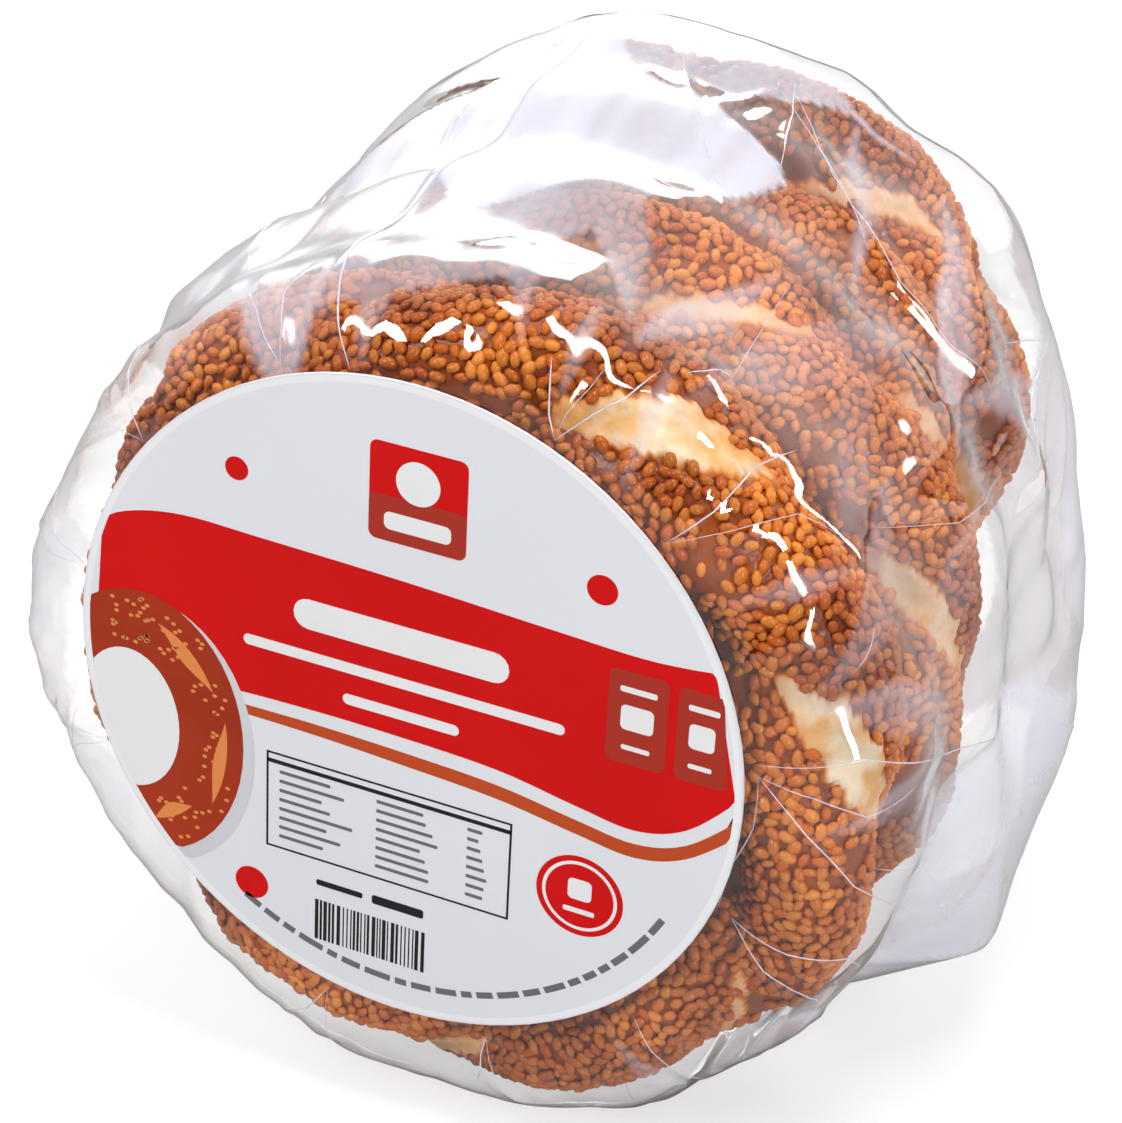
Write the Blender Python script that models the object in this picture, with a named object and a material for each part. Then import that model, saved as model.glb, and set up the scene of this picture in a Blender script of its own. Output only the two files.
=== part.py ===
"""A clear bag of four bread rings that stands on its rim, with a round label on its front.

Metres, +Z up. The rings lie behind one another along +Y, and the label faces -Y.
The bag is one closed solid that follows the outside of the film.
"""
import math

import bmesh
import bpy
from mathutils import Matrix

MM = 0.001

# Driving sizes
RING_MIDLINE = 69.0 * MM
RING_THICKNESS = 36.0 * MM
FIRST_SPACING = 44.0 * MM
OTHER_SPACING = 36.0 * MM
RING_PLACES = (0.0, FIRST_SPACING, FIRST_SPACING + OTHER_SPACING, FIRST_SPACING + 2 * OTHER_SPACING)
FILM_CLEARANCE = 1.5 * MM
BASE_FLATTENING = 1.0 * MM
LEAN_LEFT = 8.0 * MM
LEAN_UP = 2.5 * MM
LABEL_DIAMETER = 136.0 * MM
LABEL_THICKNESS = 0.6 * MM
LABEL_GAP = 0.3 * MM
LABEL_SHIFT_LEFT = 5.0 * MM
LABEL_SHIFT_UP = 5.0 * MM

# Sizes that follow from them
FILM_ROLL = RING_THICKNESS / 2 + FILM_CLEARANCE
FILM_RADIUS = RING_MIDLINE + FILM_ROLL
STACK_LENGTH = RING_PLACES[-1]
BAG_LENGTH = STACK_LENGTH + 2 * FILM_ROLL
AXIS_HEIGHT = FILM_RADIUS - BASE_FLATTENING

# The film between two rings sinks in, less so under the bag, and the back is drawn to the middle
VALLEY_DEPTH = 4.5 * MM
VALLEY_DEPTH_UNDER = 0.3 * MM
STRAIGHT_FOLD = 8.0 * MM
BACK_DISH = 9.0 * MM
BACK_PLEATS = 18
BACK_PLEAT_HEIGHT = 1.6 * MM

# Mesh density
AROUND = 96
ALONG = 36

# Loose folds of the film: angle round the stack in degrees from +X towards +Z, half width in
# degrees, height, place along the stack from the first ring, and half length along it.
FOLDS = (
    (182, 26, 6 * MM, -6 * MM, 30 * MM),
    (208, 15, 3 * MM, 0 * MM, 30 * MM),
    (143, 18, 6 * MM, 36 * MM, 34 * MM),
    (98, 13, 2 * MM, 112 * MM, 40 * MM),
    (66, 14, 2 * MM, 90 * MM, 55 * MM),
    (44, 16, 4 * MM, 112 * MM, 45 * MM),
    (34, 13, 2 * MM, 50 * MM, 45 * MM),
    (12, 13, 2 * MM, 70 * MM, 50 * MM),
    (345, 18, 9 * MM, 98 * MM, 42 * MM),
    (325, 26, 20 * MM, 66 * MM, 60 * MM),
    (298, 13, 4 * MM, 26 * MM, 45 * MM),
)


def clear_scene():
    """Empty the scene that Blender opens with."""
    for old in list(bpy.data.objects):
        bpy.data.objects.remove(old, do_unlink=True)


def material(name, color, roughness, alpha=1.0):
    """A plain surface with the part's colour."""
    result = bpy.data.materials.new(name)
    result.use_nodes = True
    shader = result.node_tree.nodes["Principled BSDF"]
    shader.inputs["Base Color"].default_value = (*color, 1.0)
    shader.inputs["Roughness"].default_value = roughness
    shader.inputs["Alpha"].default_value = alpha
    return result


def add_object(name, mesh_builder, surface):
    """Turn a finished bmesh into a named object with one material."""
    mesh = bpy.data.meshes.new(name)
    mesh_builder.to_mesh(mesh)
    mesh_builder.free()
    mesh.materials.append(surface)
    thing = bpy.data.objects.new(name, mesh)
    bpy.context.collection.objects.link(thing)
    return thing


def smooth(value):
    """Ease from 0 to 1."""
    value = min(max(value, 0.0), 1.0)
    return value * value * (3 - 2 * value)


def fold_height(angle, along):
    """How far the loose folds lift the film at one place, in metres."""
    height = 0.0
    for fold_angle, half_width, fold_top, middle, half_length in FOLDS:
        turn = (math.degrees(angle) - fold_angle + 180) % 360 - 180
        across = max(0.0, 1 - abs(turn) / half_width)
        down = max(0.0, 1 - abs(along - middle) / half_length)
        height += fold_top * across * smooth(down * 1.4)
    return height


def valley(along, angle, lift):
    """How far the film sinks between two rings, less where a fold lifts it."""
    under = smooth(-1.5 - 3 * math.sin(angle))
    depth = VALLEY_DEPTH + (VALLEY_DEPTH_UNDER - VALLEY_DEPTH) * under
    for before, after in zip(RING_PLACES, RING_PLACES[1:]):
        if before <= along <= after:
            sink = depth * math.sin(math.pi * (along - before) / (after - before)) ** 2
            return sink * (1 - smooth(lift / STRAIGHT_FOLD))
    return 0.0


def film_profile(share):
    """The film's line from the middle of the front to the middle of the back.

    Returns the place along the stack and the distance from its axis."""
    face = RING_MIDLINE
    bend = FILM_ROLL * math.pi / 2
    total = 2 * face + 2 * bend + STACK_LENGTH
    walked = share * total
    if walked < face:
        return -FILM_ROLL, walked
    walked -= face
    if walked < bend:
        turn = walked / FILM_ROLL
        return -FILM_ROLL * math.cos(turn), RING_MIDLINE + FILM_ROLL * math.sin(turn)
    walked -= bend
    if walked < STACK_LENGTH:
        return walked, FILM_RADIUS
    walked -= STACK_LENGTH
    if walked < bend:
        turn = walked / FILM_ROLL
        return STACK_LENGTH + FILM_ROLL * math.sin(turn), RING_MIDLINE + FILM_ROLL * math.cos(turn)
    walked -= bend
    return STACK_LENGTH + FILM_ROLL, max(face - walked, 0.0)


def film_point(share, angle):
    """One point of the film, with the stack's axis along Y at height 0."""
    along, radius = film_profile(share)
    lift = 0.0
    if along > -FILM_ROLL and radius > RING_MIDLINE:
        outward = (radius - RING_MIDLINE) / FILM_ROLL
        lift = fold_height(angle, along) * smooth(outward)
    radius += lift - valley(along, angle, lift)
    if along >= STACK_LENGTH + FILM_ROLL - 0.01 * MM:
        inward = 1 - radius / RING_MIDLINE
        pleat = BACK_PLEAT_HEIGHT * math.sin(BACK_PLEATS * angle) * smooth(inward * 3) * smooth(radius / (15 * MM))
        along -= BACK_DISH * smooth(inward * 1.2) - pleat
    lean = smooth((along - FIRST_SPACING) / (STACK_LENGTH - FIRST_SPACING))
    x = radius * math.cos(angle) - LEAN_LEFT * lean
    z = radius * math.sin(angle) + LEAN_UP * lean * (1 + math.sin(angle)) / 2
    return x, along, z


def make_bag():
    """The film's outer form: a ball whose rows are laid along the film's line."""
    builder = bmesh.new()
    bmesh.ops.create_uvsphere(builder, u_segments=AROUND, v_segments=ALONG, radius=1.0)
    for vert in builder.verts:
        share = math.acos(min(max(vert.co.z, -1.0), 1.0)) / math.pi
        angle = math.atan2(vert.co.y, vert.co.x)
        x, y, z = film_point(share, angle)
        vert.co = (x, y, max(z + AXIS_HEIGHT, 0.0))
    bmesh.ops.triangulate(builder, faces=builder.faces)
    bmesh.ops.recalc_face_normals(builder, faces=builder.faces)
    surface = material("clear_film", (0.92, 0.94, 0.95), 0.12, alpha=0.35)
    return add_object("bag", builder, surface)


def make_label():
    """The round paper label, just clear of the film."""
    builder = bmesh.new()
    front = -FILM_ROLL - LABEL_GAP - LABEL_THICKNESS / 2
    place = Matrix.Translation((-LABEL_SHIFT_LEFT, front, AXIS_HEIGHT + LABEL_SHIFT_UP))
    bmesh.ops.create_cone(
        builder, cap_ends=True, segments=96, radius1=LABEL_DIAMETER / 2, radius2=LABEL_DIAMETER / 2,
        depth=LABEL_THICKNESS, matrix=place @ Matrix.Rotation(math.radians(90), 4, "X"),
    )
    surface = material("label_paper", (0.86, 0.85, 0.84), 0.3)
    return add_object("label", builder, surface)


def centre_on_origin(things):
    """Put the middle of the whole bag over the origin."""
    corners = [vert.co for thing in things for vert in thing.data.vertices]
    middle_x = (min(c.x for c in corners) + max(c.x for c in corners)) / 2
    middle_y = (min(c.y for c in corners) + max(c.y for c in corners)) / 2
    for thing in things:
        thing.data.transform(Matrix.Translation((-middle_x, -middle_y, 0)))


clear_scene()
centre_on_origin([make_bag(), make_label()])
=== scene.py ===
"""A clear bag of four sesame bread rings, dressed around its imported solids.

Lengths are metres. The rings lie behind one another along +Y and the label faces -Y.
"""
import math
import random

import bmesh
import bpy
import numpy as np
from mathutils import Matrix, Vector


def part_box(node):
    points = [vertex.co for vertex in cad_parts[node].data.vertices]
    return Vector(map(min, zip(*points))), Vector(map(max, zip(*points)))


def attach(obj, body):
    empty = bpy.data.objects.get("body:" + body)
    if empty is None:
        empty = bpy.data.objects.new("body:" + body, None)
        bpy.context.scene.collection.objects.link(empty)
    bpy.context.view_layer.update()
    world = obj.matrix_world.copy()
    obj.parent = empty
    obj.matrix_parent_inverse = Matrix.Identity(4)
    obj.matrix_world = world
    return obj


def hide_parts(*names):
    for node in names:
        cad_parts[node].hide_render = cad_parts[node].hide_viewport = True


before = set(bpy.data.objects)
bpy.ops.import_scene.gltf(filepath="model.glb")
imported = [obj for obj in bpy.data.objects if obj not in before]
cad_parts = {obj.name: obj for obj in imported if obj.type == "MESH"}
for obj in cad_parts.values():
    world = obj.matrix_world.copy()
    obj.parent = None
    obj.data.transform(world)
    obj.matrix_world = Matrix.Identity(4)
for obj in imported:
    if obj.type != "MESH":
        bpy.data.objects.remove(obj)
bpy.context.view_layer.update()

# The camera looks down on the front right of the pack, as a product photograph does,
# from 0.7 m with a long lens.
MM = 0.001
AZIMUTH = math.radians(24.7)
ELEVATION = math.radians(29.0)
DISTANCE = 0.7
FOCAL_PIXELS = 3435.8
LONG_SIDE_PIXELS = 1123
SENSOR_WIDTH = 36
AIM = Vector((-7.2, 0.1, 84.2)) * MM

away = Vector((
    math.sin(AZIMUTH) * math.cos(ELEVATION),
    -math.cos(AZIMUTH) * math.cos(ELEVATION),
    math.sin(ELEVATION),
))
lens = bpy.data.cameras.new("camera")
lens.sensor_width = SENSOR_WIDTH
lens.lens = FOCAL_PIXELS * SENSOR_WIDTH / LONG_SIDE_PIXELS
camera = bpy.data.objects.new("camera", lens)
camera.location = AIM + away * DISTANCE
camera.rotation_euler = away.to_track_quat("Z", "Y").to_euler()
bpy.context.collection.objects.link(camera)
bpy.context.scene.camera = camera
bpy.context.scene.view_settings.view_transform = "Standard"

# The studio: a white floor that runs out of sight, a surround that is bright behind the pack
# and dim behind the camera, and small soft boxes whose reflections lie on the film.
SURROUND_BEHIND = 1.0
SURROUND_IN_FRONT = 0.06
DIMMING_STARTS = -0.35
DIMMING_ENDS = 0.55
FLOOR_REFLECTANCE = 0.4
FLOOR_GLOW = 0.64
FLOOR_HALF = 80.0
SOFT_BOXES = (
    # name, direction from the pack, distance, width, height, brightness
    ("box_back_left", (-0.50, 0.80, 0.34), 1.5, 1.0, 0.45, 4.0),
    ("box_back_right", (0.74, 0.50, 0.45), 1.4, 0.14, 0.9, 12.0),
    ("box_top", (0.15, -0.10, 1.0), 1.4, 0.2, 0.8, 23.0),
    ("box_front_left", (-0.50, -0.80, 0.85), 1.6, 0.18, 0.9, 25.0),
    ("box_front_right", (0.95, -0.75, 0.16), 1.6, 0.16, 0.9, 29.0),
)


def link_mesh(name, points, faces, finish):
    """A smooth mesh object from an array of points and its faces."""
    mesh = bpy.data.meshes.new(name)
    mesh.from_pydata([tuple(p) for p in points], [], [tuple(f) for f in faces])
    mesh.materials.append(finish)
    mesh.shade_smooth()
    mesh.update()
    piece = bpy.data.objects.new(name, mesh)
    bpy.context.collection.objects.link(piece)
    return piece


def new_finish(name):
    """A new material, with its node tree and its main shader."""
    finish = bpy.data.materials.new(name)
    finish.use_nodes = True
    return finish, finish.node_tree, finish.node_tree.nodes["Principled BSDF"]


def fill(tree, node, inputs):
    """Give each named input of a node its value, or link another node's socket to it."""
    for label, value in inputs.items():
        if isinstance(value, bpy.types.NodeSocket):
            tree.links.new(value, node.inputs[label])
        else:
            node.inputs[label].default_value = value


def add_node(tree, kind, inputs=None, **settings):
    """A new node with its settings and inputs."""
    node = tree.nodes.new(kind)
    for name, value in settings.items():
        setattr(node, name, value)
    fill(tree, node, inputs or {})
    return node


def worked_out(tree, operation, *parts, clamp=False):
    """The result of a Math node whose parts are numbers or other nodes' sockets."""
    parts = dict(enumerate(parts))
    return add_node(tree, "ShaderNodeMath", parts, operation=operation, use_clamp=clamp).outputs[0]


def ranged(tree, source, low, high, to_low=0.0, to_high=1.0, ease="LINEAR"):
    """A value mapped from one range onto another."""
    inputs = {"Value": source, "From Min": low, "From Max": high, "To Min": to_low, "To Max": to_high}
    return add_node(tree, "ShaderNodeMapRange", inputs, interpolation_type=ease).outputs["Result"]


def floor_material():
    """White paper that glows a little for the camera alone, so that its shadow stays soft."""
    finish, tree, shader = new_finish("floor_white")
    seen = add_node(tree, "ShaderNodeLightPath")
    fill(tree, shader, {
        "Base Color": (FLOOR_REFLECTANCE, FLOOR_REFLECTANCE, FLOOR_REFLECTANCE, 1),
        "Roughness": 0.9, "Specular IOR Level": 0.1, "Emission Color": (1, 1, 1, 1),
        "Emission Strength": worked_out(tree, "MULTIPLY", seen.outputs["Is Camera Ray"], FLOOR_GLOW),
    })
    return finish


floor = link_mesh(
    "floor",
    [(-FLOOR_HALF, -FLOOR_HALF, 0), (FLOOR_HALF, -FLOOR_HALF, 0),
     (FLOOR_HALF, FLOOR_HALF, 0), (-FLOOR_HALF, FLOOR_HALF, 0)],
    [(0, 1, 2, 3)], floor_material(),
)


def surround_world():
    """White all round, dimmer towards the camera."""
    world = bpy.data.worlds.new("surround")
    world.use_nodes = True
    tree = world.node_tree
    heading = add_node(tree, "ShaderNodeTexCoord").outputs["Generated"]
    forward = add_node(tree, "ShaderNodeVectorMath", {0: heading, 1: away}, operation="DOT_PRODUCT")
    strength = ranged(tree, forward.outputs["Value"], DIMMING_STARTS, DIMMING_ENDS,
                      SURROUND_BEHIND, SURROUND_IN_FRONT, "SMOOTHSTEP")
    fill(tree, tree.nodes["Background"], {"Color": (1, 1, 1, 1), "Strength": strength})
    return world


bpy.context.scene.world = surround_world()

for box_name, toward, reach, width, height, brightness in SOFT_BOXES:
    light = bpy.data.lights.new(box_name, "AREA")
    light.shape = "RECTANGLE"
    light.size = width
    light.size_y = height
    light.energy = brightness * math.pi * width * height
    lamp = bpy.data.objects.new(box_name, light)
    toward = Vector(toward).normalized()
    lamp.location = AIM + toward * reach
    lamp.rotation_euler = toward.to_track_quat("Z", "Y").to_euler()
    bpy.context.collection.objects.link(lamp)

# The bread rings. Each is two ropes of dough twisted together and closed into a ring, dipped
# in molasses and sesame, and baked: it swells, and the crust tears pale where ropes meet.
# Four of them stand on their rims in a row behind the label, and the rear ones have slid over.
label_low, label_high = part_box("label")
FILM_ROLL = 19.5 * MM
FILM_BEHIND_LABEL = 0.3 * MM
FIRST_SPACING = 44 * MM
OTHER_SPACING = 36 * MM
RING_PLACES = (0.0, *(FIRST_SPACING + step * OTHER_SPACING for step in range(3)))
STACK_LENGTH = RING_PLACES[-1]
LEAN_LEFT = 8 * MM
LEAN_UP = 2.5 * MM
LABEL_SHIFT_LEFT = 5 * MM
LABEL_SHIFT_UP = 5 * MM
AXIS_X = (label_low[0] + label_high[0]) / 2 + LABEL_SHIFT_LEFT
AXIS_Z = (label_low[2] + label_high[2]) / 2 - LABEL_SHIFT_UP
FIRST_RING_Y = label_high[1] + FILM_BEHIND_LABEL + FILM_ROLL
ROPE_RADIUS = 12.3 * MM
ROPE_OFFSET = 5.0 * MM
ROPE_SWELL = 0.035
TWIST_WANDER = 0.16
CRUST_MIDLINE = 68.1 * MM
RING_WANDER = 0.6 * MM
MEETING_BLEND = 1.2 * MM
STEPS_ROUND_RING = 400
STEPS_ROUND_ROPE = 84
LUMP_SIZE = 21 * MM
FINE_SIZE = 6 * MM
GRIT_SIZE = 2.6 * MM
WAVE_FADE = 0.6
WAVE_SPREAD = 1.6
LUMP_WAVES = 14
LUMP_SPREAD = 3.7
# Heights on the crust, in millimetres
CRUST_LUMPS = 0.35
CRUST_SUNK = 0.25
CRUST_GRAIN = 0.16
TEAR_LIP = 0.35
CRUMB_STAND = 1.5
CRUMB_LUMPS = 0.35
CRUMB_GRIT = 0.28
# Tears, as shares of a rope's turn and as angles
TEAR_HALF_WIDTH = 0.62
TEAR_SOFT_EDGE = 0.15
TEAR_RAGGED_FINE = 0.06
TEAR_RAGGED_GRIT = 0.04
TEAR_CLOSED = 0.04
TEAR_POINTEDNESS = 0.6
TEAR_HALF_LENGTH = math.radians(58)
TEAR_FACING = math.radians(-35)
TEAR_REACH = math.radians(27)
# For each ring: half turns of the twist, where the twist starts, a seed for its unevenness, a
# dent as degrees round the ring and depth, and how far each crossing on the outer face has
# torn, as degrees round the ring and a share
RINGS = (
    (7, 1.37, 11, (186, 3 * MM),
     ((61, 1.0), (10, 0.95), (-42, 0.45), (112, 0.0), (166, 0.7), (216, 0.4), (267, 0.7))),
    (7, 1.62, 23, (250, 2 * MM),
     ((66, 0.6), (14, 0.75), (-38, 0.7), (117, 0.0), (168, 0.6), (220, 0.8))),
    (7, 2.90, 37, (-10, 11 * MM),
     ((73, 0.5), (21, 0.55), (-30, 0.8), (124, 0.2), (176, 0.7), (227, 0.6))),
    (7, 1.00, 41, (-22, 12 * MM),
     ((55, 0.6), (4, 0.6), (-47, 0.6), (106, 0.0), (158, 0.9), (209, 0.7))),
)


def smooth(value):
    """Ease from 0 to 1, for a number or an array."""
    value = np.clip(value, 0.0, 1.0)
    return value * value * (3 - 2 * value)


def lean(along):
    """How far the rear rings have slid over, from 0 to 1."""
    return smooth((along - FIRST_SPACING) / (STACK_LENGTH - FIRST_SPACING))


def store(mesh, name, values):
    """Keep one number for each point of a mesh, for its material to read."""
    layer = mesh.attributes.new(name, "FLOAT", "POINT")
    layer.data.foreach_set("value", np.asarray(values, dtype=np.float32).ravel())


def waves(angle, seed, count):
    """A smooth closed wobble round a ring, about -1 to 1."""
    dice = random.Random(seed)
    total = 0.0
    for step in range(1, count + 1):
        height, late = dice.uniform(-1, 1), dice.uniform(0, 2 * math.pi)
        total = total + height * np.sin(step * angle + late) / step ** WAVE_FADE
    return total / WAVE_SPREAD


def lump_noise(points, size, seed):
    """Soft lumps of one size, from a few crossed waves in space."""
    dice = np.random.RandomState(seed)
    total = np.zeros(points.shape[:-1])
    for _ in range(LUMP_WAVES):
        heading = dice.normal(size=3)
        heading /= np.linalg.norm(heading)
        turns = points @ heading * (2 * math.pi / size) * dice.uniform(0.6, 1.5)
        total += np.sin(turns + dice.uniform(0, 6.28))
    return total / LUMP_SPREAD


def turned_from(angle, middle):
    """The angle from a middle direction, between half a turn back and half a turn on."""
    return (angle - middle + math.pi) % (2 * math.pi) - math.pi


def tear_mask(round_ring, across, turn, tears, fine, grit):
    """How far each place has torn open, from 0 to 1, along the lines where ropes meet."""
    opened = np.zeros(turn.shape)
    ragged = TEAR_RAGGED_FINE * fine + TEAR_RAGGED_GRIT * grit
    facing = turned_from(across, TEAR_FACING)
    for crossing, share in tears:
        beside = turned_from(round_ring, math.radians(crossing))
        spindle = np.clip(1 - (facing / TEAR_HALF_LENGTH) ** 2 - (beside / TEAR_REACH) ** 2, 0, 1)
        opened = np.maximum(opened, share * spindle ** TEAR_POINTEDNESS)
    tear_width = TEAR_HALF_WIDTH * opened + ragged * smooth(opened * 4) - TEAR_CLOSED
    return smooth((tear_width - np.abs(np.cos(turn))) / TEAR_SOFT_EDGE) * (0.45 + 0.55 * opened)


def crust_surface(index):
    """Points of one ring's crust, how torn they are, and their angle across the rope."""
    half_turns, start, seed, (dent_angle, dent_depth), tears = RINGS[index]
    round_ring = np.linspace(0, 2 * math.pi, STEPS_ROUND_RING, endpoint=False)[:, None]
    across = np.linspace(0, 2 * math.pi, STEPS_ROUND_ROPE, endpoint=False)[None, :]
    twist = start - half_turns / 2 * round_ring + TWIST_WANDER * waves(round_ring, seed, 4)
    rope = ROPE_RADIUS * (1 + ROPE_SWELL * waves(round_ring, seed + 1, 9))
    turn = across - twist
    side = np.sqrt(rope ** 2 - (ROPE_OFFSET * np.sin(turn)) ** 2)
    near = ROPE_OFFSET * np.cos(turn)
    reach = side + np.sqrt(near ** 2 + MEETING_BLEND ** 2) - MEETING_BLEND * 0.3
    in_dent = np.clip(np.cos(round_ring - math.radians(dent_angle)), 0, 1) ** 3
    midline = CRUST_MIDLINE + RING_WANDER * waves(round_ring, seed + 2, 3) - dent_depth * in_dent
    from_axis = midline + reach * np.cos(across)
    points = np.stack([
        from_axis * np.cos(round_ring),
        reach * np.sin(across) + RING_WANDER * waves(round_ring, seed + 3, 3),
        from_axis * np.sin(round_ring),
    ], axis=-1)
    normal = np.stack([
        np.cos(across) * np.cos(round_ring),
        np.sin(across) + 0 * round_ring,
        np.cos(across) * np.sin(round_ring),
    ], axis=-1)
    lumps = lump_noise(points, LUMP_SIZE, seed + 4)
    fine = lump_noise(points, FINE_SIZE, seed + 5)
    grit = lump_noise(points, GRIT_SIZE, seed + 7)
    crack = tear_mask(round_ring, across, turn, tears, fine, grit)
    lip = np.exp(-((crack - 0.3) / 0.25) ** 2)
    torn = crack * (CRUMB_STAND + CRUMB_LUMPS * fine + CRUMB_GRIT * grit)
    skin = CRUST_LUMPS * lumps - CRUST_SUNK + CRUST_GRAIN * fine * (1 - crack)
    points += normal * MM * (skin + TEAR_LIP * lip + torn)[..., None]
    return points, crack, across + 0 * round_ring


def place_ring(points, index):
    """Move a ring from the origin to its place in the row."""
    slid = float(lean(RING_PLACES[index]))
    return points + np.array([
        AXIS_X - LEAN_LEFT * slid, FIRST_RING_Y + RING_PLACES[index], AXIS_Z + LEAN_UP * slid,
    ])


def grid_faces(rows, columns, closed):
    """Quads of a grid that wraps round, and lengthways too where it is closed."""
    row, column = np.meshgrid(np.arange(rows if closed else rows - 1), np.arange(columns), indexing="ij")
    here, there, beside = row * columns, (row + 1) % rows * columns, (column + 1) % columns
    quads = [here + column, here + beside, there + beside, there + column]
    return np.stack(quads, axis=-1).reshape(-1, 4)


def object_noise(tree, scale, detail):
    """Noise that stays with the piece."""
    where = add_node(tree, "ShaderNodeTexCoord")
    inputs = {"Vector": where.outputs["Object"], "Scale": scale, "Detail": detail}
    return add_node(tree, "ShaderNodeTexNoise", inputs).outputs["Fac"]


def bake_group():
    """How dark the oven has left each place, as a slow patchiness with fine mottling."""
    group = bpy.data.node_groups.new("oven_colour", "ShaderNodeTree")
    for label, value in (("Patch scale", 28), ("Mottle scale", 260)):
        socket = group.interface.new_socket(label, in_out="INPUT", socket_type="NodeSocketFloat")
        socket.default_value = value
    group.interface.new_socket("Darkness", in_out="OUTPUT", socket_type="NodeSocketFloat")
    given = add_node(group, "NodeGroupInput").outputs
    patches = object_noise(group, given["Patch scale"], 2)
    mottle = object_noise(group, given["Mottle scale"], 3)
    mixed = worked_out(group, "MULTIPLY_ADD", mottle, 0.3, patches)
    add_node(group, "NodeGroupOutput", {"Darkness": ranged(group, mixed, 0.52, 0.9)})
    return group


oven_colour = bake_group()


def colour_mix(tree, share, low, high):
    """Go between two colours, each a value or another node's socket."""
    low, high = ((*part, 1) if isinstance(part, tuple) else part for part in (low, high))
    return add_node(tree, "ShaderNodeMix", {0: share, 6: low, 7: high}, data_type="RGBA").outputs[2]


def stored(tree, name):
    """A number that was stored on the mesh's points."""
    return add_node(tree, "ShaderNodeAttribute", attribute_name=name).outputs["Fac"]


def baked(tree, low, high):
    """A colour that the oven has darkened in places."""
    bake = add_node(tree, "ShaderNodeGroup", node_tree=oven_colour)
    return colour_mix(tree, bake.outputs["Darkness"], low, high)


CRUST_GOLD = (0.40, 0.085, 0.006)
CRUST_BROWN = (0.16, 0.020, 0.001)
CRUMB_CREAM = (0.93, 0.77, 0.54)
CRUMB_GOLD = (0.84, 0.46, 0.16)
TOASTED_EDGE = (0.74, 0.25, 0.030)


def crust_material():
    """Glazed brown crust that fades to cream crumb in the tears."""
    finish, tree, shader = new_finish("crust")
    crack = stored(tree, "crack")
    crumb = colour_mix(tree, ranged(tree, object_noise(tree, 110, 5), 0.40, 0.60), CRUMB_GOLD, CRUMB_CREAM)
    opened = colour_mix(tree, ranged(tree, crack, 0.45, 0.95), TOASTED_EDGE, crumb)
    spread = ranged(tree, crack, 0.05, 0.5)
    colour = colour_mix(tree, spread, baked(tree, CRUST_GOLD, CRUST_BROWN), opened)
    bump = add_node(tree, "ShaderNodeBump", {
        "Distance": 0.6 * MM, "Strength": 0.6, "Height": object_noise(tree, 420, 5),
    })
    fill(tree, shader, {
        "Base Color": colour, "Roughness": ranged(tree, spread, 0, 1, 0.32, 0.7),
        "Normal": bump.outputs["Normal"],
    })
    return finish


BARE_SIZE = 26 * MM
BARE_SEED = 60
BARE_SHARE = 0.8
LEAST_SEEDED, MORE_SEEDED = 0.22, 0.78
crust_finish = crust_material()
crusts = []
for ring_index in range(len(RINGS)):
    ring_points, ring_crack, ring_across = crust_surface(ring_index)
    crust = link_mesh(
        "bread_ring_%d" % (ring_index + 1),
        place_ring(ring_points, ring_index).reshape(-1, 3),
        grid_faces(STEPS_ROUND_RING, STEPS_ROUND_ROPE, True), crust_finish,
    )
    store(crust.data, "crack", ring_crack)
    facing_out = 0.5 + 0.5 * np.cos(ring_across)
    seeded = LEAST_SEEDED + MORE_SEEDED * smooth(facing_out * 2.6 - 0.1)
    seeded = (1 - smooth((ring_crack - 0.1) / 0.3)) * seeded
    bare = smooth(lump_noise(ring_points, BARE_SIZE, BARE_SEED + ring_index) - 0.55)
    store(crust.data, "seeded", seeded * (1 - BARE_SHARE * bare))
    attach(crust, "root")
    crusts.append(crust)

# The sesame. Toasted seeds about 3.3 mm long lie pressed all over the crust, thick on the
# outside of each ring, thin towards its hole, with none in the torn crumb.
SEED_LENGTH = 3.5 * MM
SEED_WIDTH = 2.5 * MM
SEED_HEIGHT = 2.0 * MM
SEED_SPACING = 2.0 * MM
SEED_STAND = 0.5 * MM
SEED_CROWD = 900000  # most to a square metre
SEED_TILT = 0.45
SEED_PLUMPNESS = (0.8, 1.12)
SEED_ROUND = 6
SEED_RINGS = 4
SEED_GOLD = (0.90, 0.32, 0.040)
SEED_AMBER = (0.62, 0.130, 0.007)
SEED_BROWN = (0.30, 0.042, 0.002)


def seed_material():
    """Toasted seed skins, each with its own tone, glazed with molasses."""
    finish, tree, shader = new_finish("sesame")
    own = colour_mix(tree, stored(tree, "tone"), SEED_AMBER, SEED_GOLD)
    colour = baked(tree, own, SEED_BROWN)
    fill(tree, shader, {"Base Color": colour, "Roughness": 0.26, "Specular IOR Level": 0.4})
    return finish


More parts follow.
